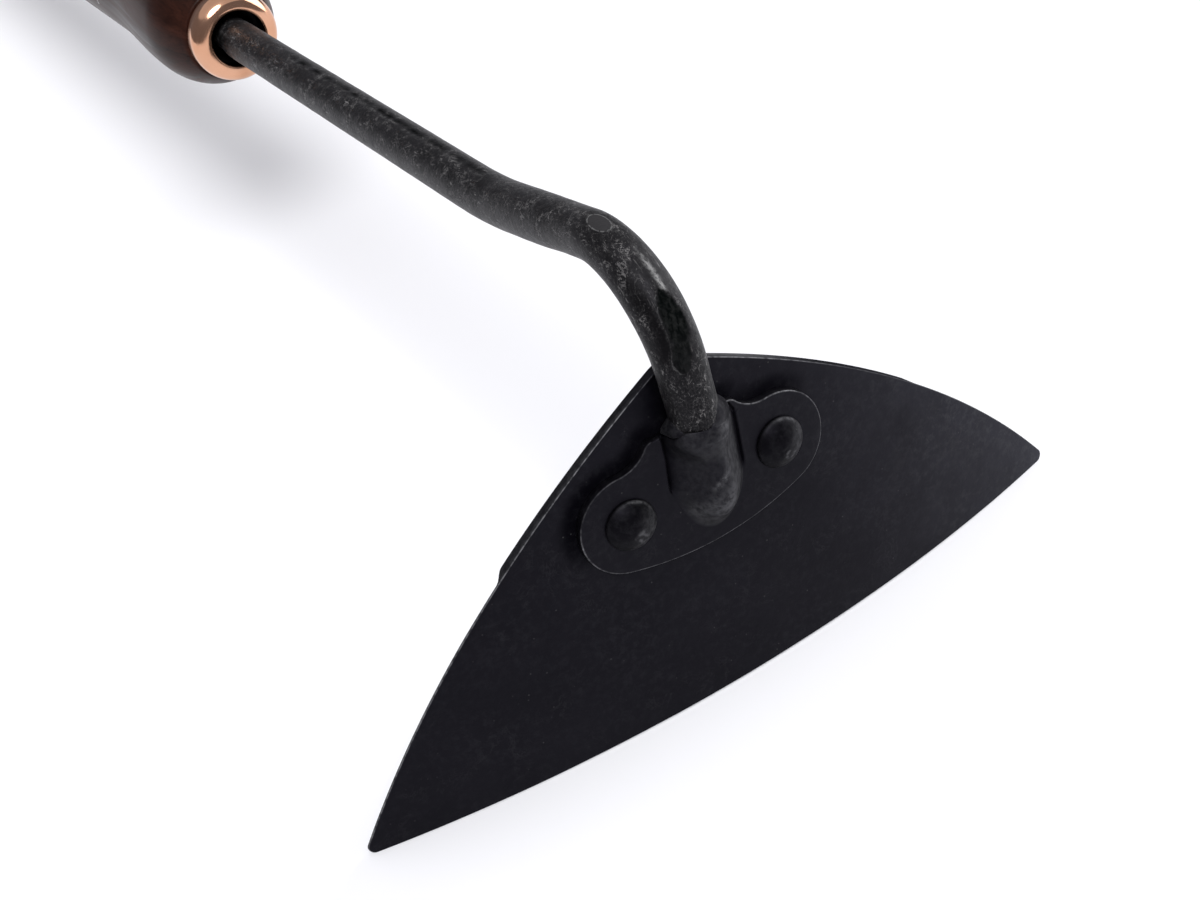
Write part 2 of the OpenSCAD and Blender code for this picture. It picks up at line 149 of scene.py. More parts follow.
# ---------------------------------------------------------------------------
# Materials
# ---------------------------------------------------------------------------
class Finish:
    """A node material with short names for the nodes that it needs."""

    def __init__(self, name):
        self.material = bpy.data.materials.new(name)
        self.material.use_nodes = True
        self.tree = self.material.node_tree
        self.shader = self.tree.nodes["Principled BSDF"]
        self.place = self.add("ShaderNodeTexCoord").outputs["Object"]

    def add(self, kind, inputs=None, **settings):
        made = self.tree.nodes.new(kind)
        for key, value in settings.items():
            setattr(made, key, value)
        for key, value in (inputs or {}).items():
            self.put(made.inputs[key], value)
        return made

    def put(self, socket, value):
        if isinstance(value, bpy.types.NodeSocket):
            self.tree.links.new(value, socket)
        else:
            socket.default_value = value

    def set(self, **values):
        for key, value in values.items():
            self.put(self.shader.inputs[key.replace("_", " ")], value)

    def mapped(self, scale, rotation):
        return self.add("ShaderNodeMapping", {
            "Vector": self.place, "Rotation": rotation, "Scale": scale,
        }).outputs["Vector"]

    def noise(self, scale, detail=3, rough=0.55, warp=0.0, place=None):
        return self.add("ShaderNodeTexNoise", {
            "Vector": self.place if place is None else place, "Scale": scale,
            "Detail": detail, "Roughness": rough, "Distortion": warp,
        }).outputs["Fac"]

    def cells(self, scale):
        return self.add("ShaderNodeTexVoronoi", {"Vector": self.place, "Scale": scale}).outputs["Distance"]

    def span(self, value, low, high, to_low=0.0, to_high=1.0):
        return self.add("ShaderNodeMapRange", {
            "Value": value, "From Min": low, "From Max": high, "To Min": to_low, "To Max": to_high,
        }).outputs["Result"]

    def maths(self, operation, a, b=0.0):
        return self.add("ShaderNodeMath", {0: a, 1: b}, operation=operation).outputs[0]

    def times(self, a, b):
        return self.maths("MULTIPLY", a, b)

    def larger(self, a, b):
        return self.maths("MAXIMUM", a, b)

    def veins(self, value, wide, thin):
        """Thin lines where a noise passes its middle."""
        return self.span(self.maths("ABSOLUTE", self.maths("SUBTRACT", value, 0.5)), wide, thin)

    def mark(self, name):
        return self.add("ShaderNodeAttribute", attribute_name=name).outputs["Fac"]

    def mix(self, share, a, b):
        made = self.add("ShaderNodeMix", data_type="RGBA")
        self.put(made.inputs["Factor"], share)
        self.put(made.inputs[6], a)
        self.put(made.inputs[7], b)
        return made.outputs[2]

    def bump(self, height, strength, distance, under=None):
        made = self.add("ShaderNodeBump", {"Height": height, "Strength": strength, "Distance": distance})
        if under is not None:
            self.put(made.inputs["Normal"], under)
        return made.outputs["Normal"]


def tone(r, g, b):
    return (r, g, b, 1)


# Blackened steel: its painted sheen towards the right point, the mottle within that sheen, fine veins, dots,
# and places that are rubbed or carry a painted highlight
RIGHT_SHEEN, RIGHT_SHEEN_MOTTLE = tone(0.0200, 0.0200, 0.0265), tone(0.044, 0.045, 0.050)
VEIN, DOT, RUBBED_AND_SHEEN = tone(0.030, 0.030, 0.032), tone(0.06, 0.06, 0.06), tone(0.20, 0.20, 0.21)
STEEL_TINT = tone(0.82, 0.79, 1.0)
# The bar: its clouds, its darker lower end, its grain, flecks, and rubbed places and painted highlights
ROD_DARK, ROD_PALE = tone(0.0022, 0.0020, 0.0021), tone(0.0095, 0.0091, 0.0100)
ROD_LOW, GRAIN = tone(0.0012, 0.0011, 0.0013), tone(0.046, 0.045, 0.046)
FLECK, ROD_RUBBED_AND_SHEEN = tone(0.17, 0.165, 0.165), tone(0.26, 0.26, 0.26)
# Its oval flat, the shade beside its leaf-shaped flat, that leaf's darker tones, and its seam
OVAL, SHADE = tone(0.026, 0.025, 0.026), tone(0.0022, 0.0020, 0.0023)
LEAF_DARK, LEAF_PALE = tone(0.0012, 0.0018, 0.0017), tone(0.0105, 0.0112, 0.0110)
SEAM, ROD_TINT = tone(0.0006, 0.0008, 0.0008), tone(0.92, 0.90, 1.0)
# How far the rubbed places and the painted highlights show bare metal
BARE = 0.4
# Copper, wood with its dark fibres and the painted shade on its end inside the ferrule, and plain steel
COPPER_DEEP, COPPER_PALE = tone(0.64, 0.34, 0.21), tone(0.72, 0.41, 0.27)
WOOD_DARK, WOOD_PALE = tone(0.012, 0.0044, 0.0032), tone(0.040, 0.014, 0.009)
FIBRE, RECESS_SHADE = tone(0.008, 0.0030, 0.0023), tone(0.0012, 0.0007, 0.0006)
WOOD_GLOSS = 0.06
STEEL_DARK, STEEL_PALE = tone(0.42, 0.42, 0.43), tone(0.56, 0.56, 0.57)
# Turn of the handle's grain from the object's axes
GRAIN_TURN = (-LIE + RISE, 0, 0)


def black_steel(name, dark, pale, speck, gloss, rough):
    """Matt blackened steel, clouded and speckled, with a painted sheen towards the right point; rubbed bare
    or given a painted highlight where 'wear' says, and dull where 'dull' does, which paints shade above the
    plate's rim.
    """
    f = Finish(name)
    cloud = f.span(f.noise(34, 4, 0.6, 0.4), 0.36, 0.68)
    base = f.mix(cloud, dark, pale)
    # A painted sheen, standing in for light, makes the steel paler towards the right point
    spot = f.add("ShaderNodeSeparateXYZ", {"Vector": f.place}).outputs
    right = f.maths("ADD", spot["X"], f.times(spot["Z"], 0.3))
    uneven = f.span(f.noise(70, 4, 0.65), 0.3, 0.7, -0.008, 0.008)
    right_sheen = f.span(f.maths("ADD", right, uneven), 0.022, 0.092)
    right_sheen = f.times(right_sheen, right_sheen)
    base = f.mix(right_sheen, base, RIGHT_SHEEN)
    mottle = f.span(f.noise(640, 4, 0.7, 0.3), 0.46, 0.74)
    mottle = f.times(mottle, f.span(f.noise(60, 3, 0.6), 0.40, 0.62, 0.35, 1.0))
    base = f.mix(mottle, base, f.mix(right_sheen, speck, RIGHT_SHEEN_MOTTLE))
    vein = f.veins(f.noise(150, 5, 0.7, 0.6), 0.020, 0.004)
    vein = f.times(vein, f.span(f.noise(80, 3, 0.6), 0.52, 0.64))
    vein = f.times(vein, f.span(f.mark("dull"), 0.0, 0.5, 0.16, 0.0))
    base = f.mix(vein, base, VEIN)
    dots = f.span(f.cells(460), 0.10, 0.04)
    dots = f.times(dots, f.span(f.noise(210, 1), 0.50, 0.64))
    base = f.mix(f.times(dots, 0.5), base, DOT)
    # The wear mark gives rubbed bare places and also painted highlights
    wear = f.times(f.mark("wear"), f.span(f.noise(900, 3, 0.6), 0.36, 0.60, 0.2, 1.0))
    coarse = f.span(f.noise(160, 4, 0.6), 0.3, 0.7, rough - 0.05, rough + 0.06)
    skin = f.bump(f.noise(1500, 3, 0.6), 0.10, 0.0002)
    f.set(Base_Color=f.mix(wear, base, RUBBED_AND_SHEEN), Metallic=f.times(wear, BARE))
    # Where 'dull' is high the steel is rougher and loses its gloss; above the plate's rim this paints shade
    f.set(Roughness=f.maths("ADD", coarse, f.times(f.mark("dull"), 0.5)))
    f.set(Specular_IOR_Level=f.span(f.mark("dull"), 0.0, 1.0, gloss, 0.05 * gloss), Specular_Tint=STEEL_TINT)
    f.set(Normal=f.bump(f.noise(230, 3, 0.5), 0.14, 0.0005, skin))
    return f.material


def black_rod():
    """Blackened bar: finely speckled and scratched, rubbed on its outer bend, with painted highlights there
    and down its right side, with flats and a dark seam.
    """
    f = Finish("black_rod")
    along = f.mark("along")
    place = f.add("ShaderNodeCombineXYZ", {
        "X": f.times(along, 0.8), "Y": f.mark("across"), "Z": f.mark("over"),
    }).outputs["Vector"]
    streaked = f.add("ShaderNodeMapping", {"Vector": place, "Scale": (0.3, 1, 1)}).outputs["Vector"]
    ragged = f.span(f.noise(0.9, 4, 0.7, 0.3, place), 0.3, 0.7, -0.3, 0.3)
    leaf, oval, seam = f.maths("ADD", f.mark("leaf"), ragged), f.mark("oval"), f.mark("seam")
    flat = f.larger(f.span(leaf, -0.05, 0.2), f.span(oval, -0.05, 0.1))
    cloud = f.span(f.noise(0.16, 4, 0.65, 0.5, place), 0.36, 0.66)
    base = f.mix(cloud, ROD_DARK, ROD_PALE)
    base = f.mix(f.span(along, 30, 48, 0.7, 0.0), base, ROD_LOW)
    # A fine grain, and pale flecks, veins and short scratches that gather in patches off the flats
    grain = f.span(f.noise(2.1, 5, 0.75, 0.2, place), 0.48, 0.74)
    patch = f.span(f.noise(0.20, 4, 0.65, 0.3, place), 0.41, 0.59, 0.20, 1.0)
    patch = f.times(patch, f.span(flat, 0.0, 1.0, 1.0, 0.10))
    base = f.mix(f.times(grain, f.span(patch, 0.0, 1.0, 0.15, 0.8)), base, GRAIN)
    fleck = f.span(f.noise(2.9, 4, 0.7, 0.3, place), 0.60, 0.70)
    scratch = f.span(f.noise(1.7, 3, 0.6, 0.6, streaked), 0.63, 0.70)
    vein = f.veins(f.noise(0.55, 5, 0.7, 0.6, place), 0.022, 0.006)
    vein = f.times(vein, f.span(f.noise(0.5, 3, 0.6, 0.0, place), 0.46, 0.60))
    fleck = f.larger(f.larger(fleck, scratch), vein)
    base = f.mix(f.times(fleck, patch), base, FLECK)
    # Thin pale outlines of the flats, and the rubbed places and painted highlights
    outline = f.times(f.span(leaf, -0.40, -0.16), f.span(leaf, 0.06, -0.10))
    outline = f.times(outline, f.mark("outlined"))
    ring = f.times(f.span(oval, -0.26, -0.08), f.span(oval, 0.10, 0.0))
    broken = f.span(f.noise(1.6, 4, 0.7, 0.4, place), 0.40, 0.56, 0.06, 1.0)
    pale = f.larger(f.times(outline, 0.20), f.times(ring, 0.5))
    wear = f.times(f.larger(pale, f.mark("wear")), broken)
    base = f.mix(wear, base, ROD_RUBBED_AND_SHEEN)
    base = f.mix(f.span(oval, 0.0, 0.15), base, OVAL)
    # A dark shade beside the leaf, the darker leaf, which is blackest at its upper end, and the black seam
    shaded = f.mark("shaded")
    dark = f.times(f.span(leaf, -0.15, 0.45), f.span(along, LEAF_LOW, LEAF_LOW + 7, 0.55, 1.0))
    leaf_tone = f.mix(f.span(f.noise(1.1, 4, 0.7, 0.3, place), 0.42, 0.66), LEAF_DARK, LEAF_PALE)
    base = f.mix(f.times(shaded, 0.75), base, SHADE)
    base = f.mix(dark, base, leaf_tone)
    dull = f.larger(f.larger(dark, seam), f.times(shaded, 0.6))
    shine = f.span(along, 26, 58, 0.115, 0.17)
    skin = f.bump(f.noise(1.3, 4, 0.65, 0.0, place), 0.25, 0.0004)
    f.set(Base_Color=f.mix(seam, base, SEAM), Metallic=f.times(wear, BARE))
    f.set(Roughness=f.span(f.noise(0.5, 4, 0.65, 0.0, place), 0.3, 0.7, 0.38, 0.54))
    f.set(Specular_IOR_Level=f.times(shine, f.span(dull, 0.0, 1.0, 1.0, 0.09)), Specular_Tint=ROD_TINT)
    f.set(Normal=f.bump(f.noise(0.3, 3, 0.5, 0.0, place), 0.15, 0.0008, skin))
    return f.material


def copper():
    f = Finish("polished_copper")
    cloud = f.span(f.noise(120, 3, 0.5), 0.3, 0.7)
    rings = f.noise(1.0, 2, 0.5, 0.0, f.mapped((60, 2600, 60), GRAIN_TURN))
    f.set(Base_Color=f.mix(cloud, COPPER_DEEP, COPPER_PALE), Metallic=1.0)
    f.set(Roughness=f.span(rings, 0.3, 0.7, 0.10, 0.20), Normal=f.bump(rings, 0.05, 0.0002))
    return f.material


def dark_wood():
    """Varnished wood with long dark fibres, painted dark as shade where 'soaked' says."""
    f = Finish("dark_wood")
    streak = f.noise(1.0, 5, 0.6, 0.8, f.mapped((260, 7, 260), GRAIN_TURN))
    fibre = f.noise(1.0, 3, 0.6, 0.0, f.mapped((1500, 26, 1500), GRAIN_TURN))
    base = f.mix(f.span(streak, 0.32, 0.68), WOOD_DARK, WOOD_PALE)
    base = f.mix(f.times(f.span(fibre, 0.5, 0.72), 0.55), base, FIBRE)
    f.set(Base_Color=f.mix(f.mark("soaked"), base, RECESS_SHADE), Specular_IOR_Level=WOOD_GLOSS)
    f.set(Roughness=f.span(streak, 0.3, 0.7, 0.26, 0.40), Normal=f.bump(fibre, 0.08, 0.0003))
    return f.material


def bare_steel():
    f = Finish("bare_steel")
    cloud = f.span(f.noise(600, 3), 0.3, 0.7)
    f.set(Base_Color=f.mix(cloud, STEEL_DARK, STEEL_PALE), Metallic=1.0)
    f.set(Roughness=f.span(f.noise(1400, 3), 0.3, 0.7, 0.30, 0.48))
    f.set(Normal=f.bump(f.noise(2200, 3), 0.15, 0.0002))
    return f.material


# Dark and pale clouds, mottle, gloss and roughness of each finish
SHEET_STEEL = black_steel("black_sheet", tone(0.0009, 0.0008, 0.0016), tone(0.0025, 0.0023, 0.0036),
                          tone(0.0068, 0.0068, 0.0084), gloss=0.104, rough=0.40)
PLATE_STEEL = black_steel("black_plate", tone(0.0010, 0.0009, 0.0016), tone(0.0027, 0.0025, 0.0036),
                          tone(0.0065, 0.0065, 0.0078), gloss=0.112, rough=0.42)
RIVET_STEEL = black_steel("black_rivet", tone(0.0008, 0.0007, 0.0011), tone(0.0020, 0.0019, 0.0025),
                          tone(0.0080, 0.0080, 0.0090), gloss=0.065, rough=0.48)
ROD_STEEL = black_rod()

# ---------------------------------------------------------------------------
# Blade: a rolled sheet with small rounded arrises and bevels ground behind
# ---------------------------------------------------------------------------
TIP_C = np.array([BLADE_W / 2 - TIP_R, TIP_R])
CROWN_C = np.array([0.0, BLADE_H - CROWN_R])
# Steps along the point, the upper edge and the crown's start, and columns across the sheet
BLADE_STEPS, COLUMNS = (14, 170, 10), 141
# Where the crown becomes the sheet's top row, and how far the faces stop short of the outline
TOP_TURN, RIM_INSET = radians(76), 0.24
# Run-out of the side bevels, least depth of the rear arris, and height where the upper edges begin
GRIND_FADE, REAR_LEAST, EDGE_TOP = 3.2, 0.26, 0.2
# Arrises from front to back: inset from the outline, share of the depth, depth added to it, wear
BLADE_BEVEL = [
    (0.10, 0.0, 0.02, 0.6), (0.03, 0.0, 0.08, 1.0), (0.0, 0.0, 0.20, 0.15),
    (0.0, 0.5, 0.0, 0.04), (0.0, 1.0, -0.20, 0.04), (0.05, 1.0, -0.05, 0.10),
]
# Side of the plate's rim that painted shade lies along
UPPER_LEFT = np.array([-0.55, 0.83])


def side_centre():
    """Centre of the right upper edge, which meets the round point and crown."""
    tip_reach, crown_reach = SIDE_R - TIP_R, SIDE_R - CROWN_R
    span = CROWN_C - TIP_C
    length = hypot(*span)
    along = (tip_reach**2 - crown_reach**2 + length**2) / (2 * length)
    off = sqrt(tip_reach**2 - along**2)
    return TIP_C + (along * span + off * np.array([-span[1], span[0]])) / length


SIDE_C = side_centre()


def on_roll(x, height):
    """Y of a place on the rolled sheet, at a height over its outer face."""
    return BEND_R - np.sqrt((BEND_R + height) ** 2 - np.asarray(x) ** 2)


def sheet_depth(x, z):
    """Thickness of the blade, with the bevels behind its edges."""
    full = BLADE_T - EDGE_LAND
    cut = EDGE_LAND + full * np.clip(z / EDGE_GRIND_H, 0, 1)
    away = np.abs(x) - SIDE_C[0], z - SIDE_C[1]
    inside = SIDE_R - np.hypot(*away)
    side = EDGE_LAND + full * np.clip(inside / SIDE_GRIND_W, 0, 1)
    stop_h = np.where(x < 0, LEFT_GRIND_H, RIGHT_GRIND_H)
    stop = np.arcsin((stop_h - SIDE_C[1]) / SIDE_R)
    past = SIDE_R * (np.arctan2(away[1], away[0]) - stop)
    side = side + (BLADE_T - side) * smooth(past / GRIND_FADE)
    return np.minimum(cut, side)


def sheet_wave(x, z):
    """Slight waviness of the sheet, which is true where the plate sits."""
    clear = smooth((np.hypot(x / 1.4, z - 48) - 24) / 14)
    return clear * (0.16 * lumps(x, z, 3.1, 42) + 0.035 * lumps(x, z, 7.7, 11))


def make_blade():
    tip_a, crown_a = atan2(*(TIP_C - SIDE_C)[::-1]), atan2(*(CROWN_C - SIDE_C)[::-1])
    right, right_n = joined([
        arc(TIP_C, TIP_R, -pi / 2, tip_a, BLADE_STEPS[0]),
        arc(SIDE_C, SIDE_R, tip_a, crown_a, BLADE_STEPS[1]),
        arc(CROWN_C, CROWN_R, crown_a, TOP_TURN, BLADE_STEPS[2]),
    ])
    columns = np.linspace(-1, 1, COLUMNS)
    top, top_n = arc(CROWN_C, CROWN_R, pi - TOP_TURN, TOP_TURN, COLUMNS - 1)
    bottom = np.column_stack((columns * right[0, 0], 0 * columns))
    bottom_n = np.tile([0.0, -1.0], (COLUMNS, 1))
    flip = np.array([-1.0, 1.0])
    # Round the outline: along the edge, up the right side, over the crown, down the left side
    outline = np.vstack((bottom, right[1:-1], top[::-1], (right * flip)[-2:0:-1]))
    normals = np.vstack((bottom_n, right_n[1:-1], top_n[::-1], (right_n * flip)[-2:0:-1]))
    upper_edge = outline[:, 1] > EDGE_TOP

    # Both faces: rows across the sheet from the cutting edge up to the crown
    ends = right - RIM_INSET * right_n
    grid = [np.column_stack((columns * x, np.full(COLUMNS, z))) for x, z in ends[:-1]]
    grid = np.array(grid + [top - RIM_INSET * top_n])
    rows, cols = grid.shape[:2]
    gx, gz = grid[..., 0].ravel(), grid[..., 1].ravel()
    lift = sheet_wave(gx, gz)
    front = np.column_stack((gx, on_roll(gx, 0) + lift, gz))
    back = np.column_stack((gx, on_roll(gx, -sheet_depth(gx, gz)) + lift, gz))
    number = np.arange(rows * cols).reshape(rows, cols)
    parts, faces = [front, back], quads(number) + quads(number + rows * cols)
    wear = [np.zeros(len(front)), np.zeros(len(back))]

    # Rings of the arrises, from the rim of the front to that of the back. The front arris is rubbed
    # bright down the upper edges, less on the right and beside the neck, and hardly on the cutting edge
    rim = np.concatenate((number[0], number[1:-1, -1], number[-1, ::-1], number[-2:0:-1, 0]))
    edge_depth = sheet_depth(outline[:, 0], outline[:, 1])
    edge_lift = sheet_wave(outline[:, 0], outline[:, 1])
    rubbed = np.where(upper_edge, 1 - 0.8 * smooth((outline[:, 0] - 16) / 22), 0.12)
    rubbed = rubbed * (1 - 0.75 * np.exp(-(((outline[:, 0] + 6) / 4.5) ** 2)) * upper_edge)
    rings = [rim]
    for off, share, more, worn in BLADE_BEVEL:
        at = outline - off * normals
        depth = np.minimum(np.clip(share * edge_depth + more, 0, None), edge_depth)
        if share == 1.0:
            depth = np.maximum(depth, REAR_LEAST)
        rings.append(np.arange(len(outline)) + sum(len(part) for part in parts))
        parts.append(np.column_stack((at[:, 0], on_roll(at[:, 0], -depth) + edge_lift, at[:, 1])))
        wear.append(worn * rubbed)
    rings.append(rim + rows * cols)
    faces += quads(np.array(rings), wrap=True)
    points = np.vstack(parts)

    # The right upper edge is dull behind its arris, and painted shade, made by taking the gloss away, lies
    # above the plate's upper rim
    dulled_edge = 0.9 * smooth((outline[:, 0] - 14) / 22) * upper_edge
    dull = np.concatenate([np.zeros(len(front) + len(back) + 2 * len(outline))] + [dulled_edge] * 4)
    rim, rim_n = plate_half()[:2]
    near = np.flatnonzero(np.hypot(front[:, 0] / 1.5, front[:, 2] - RIVET_H) < 24)
    for side in (1, -1):
        gap = points[near][:, None, ::2] - rim * [side, 1]
        reach = np.hypot(gap[..., 0], gap[..., 1])
        closest = reach.argmin(1)
        upper = np.clip((rim_n * [side, 1])[closest] @ UPPER_LEFT, 0, 1) ** 0.6
        dull[near] = np.maximum(dull[near], upper * smooth(1.3 - reach.min(1) / 3.4))
    piece("blade_sheet", points, faces, SHEET_STEEL, "black_steel", ["blade"],
          wear=np.concatenate(wear), dull=dull)


# ---------------------------------------------------------------------------
# Mounting plate: a pressed plate with a boss drawn over the end of the neck
# ---------------------------------------------------------------------------
# Steps along the lower edge, the ear, the hollow and the tab's corner, and round the ear to the boss's sides
PLATE_STEPS, EAR_STEPS = (26, 64, 22, 12), 34
# The boss's lower end: height that it turns about, how far it reaches, and its turn beside the lower edge
PIVOT_H, END_REACH, END_TURN = 52.0, 13.2, radians(-56)
# Heights of the boss's crest and foot where the ear and the hollow stop
CREST_H, FOOT_H = (57.5, 62.2), (57.2, 61.2)
# Heights up each side of the boss, and how far its foot is from its middle there
SIDE_FOOT = {
    1: ([52.0, 56.5, 61.0, 63.2], [8.7, 9.1, 9.3, 8.2]),
    -1: ([52.0, 58.0, 62.4], [7.3, 6.45, 6.2]),
}
# Below its rim the boss is a blunt ridge: radius, height and shift of its round. Then its wall
RIDGE_R, RIDGE_H, RIDGE_X, BOSS_WALL = 3.0, 6.5, 0.6, 0.75
# The crevice beside the boss: distance past the boss's foot and depth, with a faint lip outside it,
# and the height on each side that it starts from
CREVICE = ([0, 0.15, 0.36, 0.6, 0.9, 1.3], [0.5, 0.85, 0.25, -0.09, -0.05, 0.0])
CREVICE_LOW = {1: 47.5, -1: 49.5}
# Distances past the boss's foot that the plate has points at
FOOT_STEPS = [0.08, 0.15, 0.25, 0.36, 0.48, 0.6, 0.9, 1.3]
# Rounded front arris and rim of the plate: inset from the outline, height, wear
PLATE_BEVEL = [
    (0.34, 2.0, 0.0), (0.22, 1.985, 0.30), (0.10, 1.94, 1.0), (0.02, 1.85, 0.8),
    (0.0, 1.7, 0.04), (0.0, 0.8, 0.0), (0.0, 0.12, 0.0),
]


def plate_half():
    """Right half of the plate's outline from the lower middle, its normals, and the boss line beside it."""
    low_c = np.array([0, RIVET_H + sqrt((PLATE_LOW_R - EAR_R) ** 2 - RIVET_X**2)])
    ear_c = np.array([RIVET_X, RIVET_H])
    hollow_x = BOSS_R + FLANGE + HOLLOW_R
    hollow_c = np.array([hollow_x, RIVET_H + sqrt((EAR_R + HOLLOW_R) ** 2 - (hollow_x - RIVET_X) ** 2)])
    low_a = atan2(*(ear_c - low_c)[::-1])
    high_a = atan2(*(hollow_c - ear_c)[::-1])
    stop_a = pi + HOLLOW_STOP
    corner = hollow_c + HOLLOW_R * np.array([cos(stop_a), sin(stop_a)])
    corner_c = corner - TAB_CORNER_R * np.array([cos(HOLLOW_STOP), sin(HOLLOW_STOP)])
    sweeps = [
        (low_c, PLATE_LOW_R, -pi / 2, low_a),
        (ear_c, EAR_R, low_a, high_a),
        (hollow_c, HOLLOW_R, high_a + pi, stop_a),
        (corner_c, TAB_CORNER_R, HOLLOW_STOP, pi / 2),
    ]
    runs = [arc(*sweep, steps) for sweep, steps in zip(sweeps, PLATE_STEPS)]
    runs[2] = runs[2][0], -runs[2][1]
    points, normals = joined(runs)
    # Turn of the boss's end from straight down to level, then the heights of its crest and foot
    counts = np.cumsum(PLATE_STEPS)
    k = np.arange(counts[-1] + 1)
    side_at = counts[0] + EAR_STEPS
    turn = np.interp(k, [0, counts[0], side_at], [-pi / 2, END_TURN, 0])
    stops = [side_at, *counts[1:]]
    crest = np.interp(k, stops, [PIVOT_H, *CREST_H, BOSS_TOP_H])
    foot = np.interp(k, stops, [PIVOT_H, *FOOT_H, points[-1, 1] - 0.1])
    return points, normals, turn, crest, foot


def boss_flank(foot, foot_h, r, centre):
    """Section of the boss on one side: round over its crest, then straight down to its foot."""
    drop, out = foot_h - centre[1], foot - centre[0]
    leave = atan2(drop, out) + np.arccos(r / hypot(out, drop))
    angles = np.linspace(np.arccos(-centre[0] / r), leave, 18)
    round_part = np.column_stack((centre[0] + r * np.cos(angles), centre[1] + r * np.sin(angles)))
    share = np.linspace(0, 1, 9)[1:, None]
    return np.vstack((round_part, round_part[-1] + share * (np.array([foot, foot_h]) - round_part[-1])))


def boss_section(turn, crest, foot_h, crevice, side):
    """Section of the boss from its middle to its foot; its lower end sinks softly into the plate."""
    wide = np.interp(max(foot_h, PIVOT_H), *SIDE_FOOT[side])
    ridge = smooth((BOSS_TOP_H - 2.0 - crest) / 6.5)
    r = BOSS_R + (RIDGE_R - BOSS_R) * ridge
    centre = (RIDGE_X * side * ridge, -NECK_Y + (RIDGE_H + NECK_Y) * ridge)
    section = boss_flank(wide, PLATE_T - CREVICE[1][0] * crevice, r, centre)
    far = 1 / hypot(cos(turn) / wide, sin(min(turn, 0)) / END_REACH)
    share = np.clip(section[:, 0] / wide, 0, 1)
    sunk = smooth(-turn / (pi / 2))
    fall = 0.5 + 0.5 * np.cos(pi * share**2)
    high = section[:, 1] * (1 - sunk) + (PLATE_T + (section[0, 1] - PLATE_T) * fall) * sunk
    # A soft toe where there is no crevice
    toe = (1 - crevice) * smooth((share - 0.62) / 0.38)
    high = high - toe * (high - PLATE_T) * 0.55 * (1 - share)
    return np.column_stack((far * share, high))


def plate_section(k, side, half):
    """One line across the plate's upper and lower face, from the boss's crest to the rim, and its wear."""
    outline, normals, turn, crest, foot_h = (kind[k] for kind in half)
    level = turn >= 0
    away = np.array([cos(turn), sin(turn)])
    foot_z = foot_h + min(turn, 0) * 8
    crevice = smooth((foot_z - CREVICE_LOW[side]) / 3.5)
    section = boss_section(turn, crest, foot_h, crevice, side)
    # The boss's rim is dressed down to the neck in front, above the lap of the weld
    facing = np.clip((section[:, 1] + NECK_Y) / BOSS_R, 0, 1)
    lap = smooth((crest + 0.16 * section[:, 0] * side - 62.3) / 0.35) - 0.5
    dressed = 0.76 * smooth((crest - 62.2) / 3.1)
    section[:, 1] += facing**2 * (0.13 * lap * smooth((crest - 60) / 2) - dressed)
    share = section[:, 0] / section[-1, 0]
    rise = (crest - foot_h) * (1 - share**2) if level else 0 * share
    if side < 0:
        # The rim climbs to the left
        climb = 0.09 * np.clip(section[:, 0], 0, 4.6) ** 2
        rise = rise + climb * smooth((crest - 60) / 5) * (1 - share**6)
    start = np.array([0.0, foot_h if level else PIVOT_H])
    line = list(start + section[:, :1] * away + np.column_stack((0 * rise, rise)))
    tall = list(section[:, 1])
    under = [start + 0.9 * (spot - start) for spot in line]
    deep = list(np.clip(section[:, 1] - BOSS_WALL, 0, None))
    deep[-1] = 0.0
    # Across the flat of the plate, from the boss's foot to where the rim's arris starts
    foot, inner_foot, goal = line[-1], under[-1], outline - PLATE_BEVEL[0][0] * normals
    reach = hypot(*(goal - foot))
    steps = np.concatenate((FOOT_STEPS, np.linspace(FOOT_STEPS[-1], reach, 13)[1:]))
    if reach < 2 * FOOT_STEPS[-1]:
        steps = reach * np.concatenate((np.linspace(0, 0.7, 9)[1:], np.linspace(0.7, 1, 13)[1:]))
    for gone in steps:
        line.append(foot + (goal - foot) * gone / reach)
        tall.append(PLATE_T - crevice * np.interp(gone, *CREVICE) * (gone < reach - 1e-6))
        under.append(inner_foot + (goal - inner_foot) * gone / reach)
        deep.append(0.0)
    # The arris is rubbed unevenly, and hardly on the left ear's upper rim
    worn = [0.0] * len(line)
    ragged = 0.55 + 0.45 * lumps(outline[0] * side, outline[1], 4.4, 2.2)
    if side < 0:
        ragged *= 1 - 0.72 * smooth((normals * [side, 1] @ UPPER_LEFT - 0.62) / 0.25)
    for off, high, wear in PLATE_BEVEL[1:]:
        line.append(outline - off * normals)
        tall.append(high)
        worn.append(wear * ragged)
        under.append(outline - (0.1 + 0.7 * off) * normals)
        deep.append(0.0)
    line, under, tall = np.array(line), np.array(under), np.array(tall)
    upper = np.column_stack((line[:, 0], on_roll(line[:, 0], tall), line[:, 1]))
    lower = np.column_stack((under[:, 0], on_roll(under[:, 0], np.array(deep)), under[:, 1]))
    # A spot is rubbed bright where the boss turns down
    across = line[:, 0] * side
    rub = np.exp(-(((across - 0.2) / 1.5) ** 2) - ((line[:, 1] - 52.6 - 0.7 * across) / 0.7) ** 2)
    worn = np.array(worn) + 0.5 * rub * (tall > 6)
    # Painted light makes the boss's right flank and lower end a little paler, and its upper rim is a little
    # paler too
    lit = np.maximum((across - 0.3) / 4, (0.6 * across + 52.5 - line[:, 1]) / 5)
    flank = np.clip((tall - 2.1) / 1.6, 0, 1) * (0.15 + 0.85 * smooth(lit))
    rim = np.clip((tall - 5) / 4, 0, 1) * smooth((line[:, 1] - 56) / 8)
    worn = worn + 0.22 * flank + 0.04 * rim
    return upper * [side, 1, 1], lower * [side, 1, 1], worn


